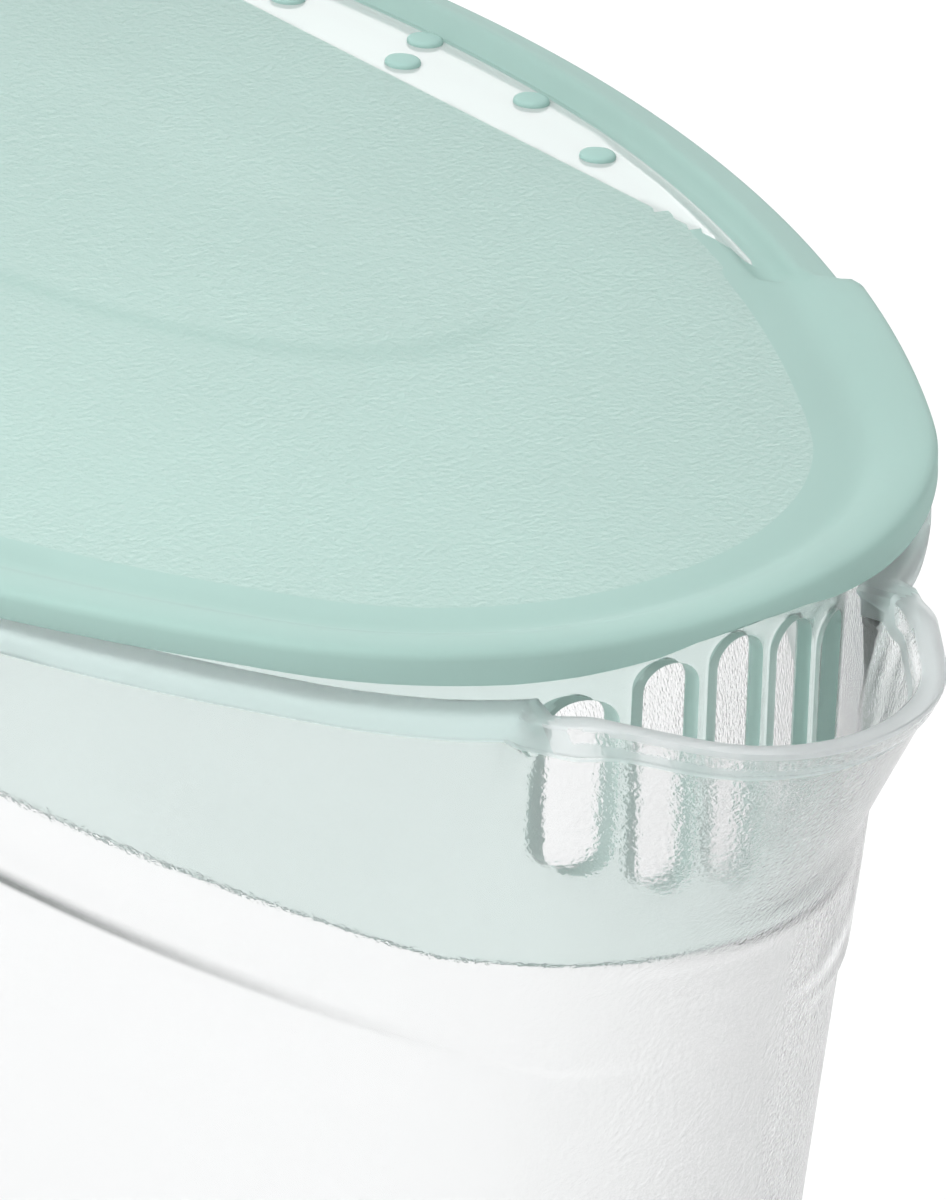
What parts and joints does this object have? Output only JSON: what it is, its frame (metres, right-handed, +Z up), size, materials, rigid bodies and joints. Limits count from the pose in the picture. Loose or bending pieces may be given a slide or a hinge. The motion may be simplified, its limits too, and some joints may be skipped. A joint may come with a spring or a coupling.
{
  "type": "water pitcher",
  "caption": "Oval refrigerator-door water pitcher: frosted see-through jug with pouring spout and rear handle, lift-off mint lid and slotted strainer collar.",
  "frame": {"origin": "on the flat underside of the base, below the middle of the lid's length", "axes": "+X towards the pouring spout, +Y across the pitcher, +Z up"},
  "size_m": [0.2406, 0.105, 0.222],
  "materials": {
    "jug_plastic": "frosted see-through polypropylene with a fine orange-peel texture",
    "handle_plastic": "frosted see-through polypropylene, smooth",
    "lid_plastic": "mint see-through plastic, finely textured panel and smooth rim",
    "strainer_plastic": "mint see-through plastic, smooth"
  },
  "bodies": {
    "jug": {"jug_body": "jug_plastic", "handle": "handle_plastic"},
    "lid": {"lid": "lid_plastic", "strainer": "strainer_plastic"}
  },
  "joints": [
    {"name": "lid_lift", "type": "slide", "parent": "jug", "child": "lid", "axis": [0, 0, 1], "range_m": [0, 0.045]}
  ]
}
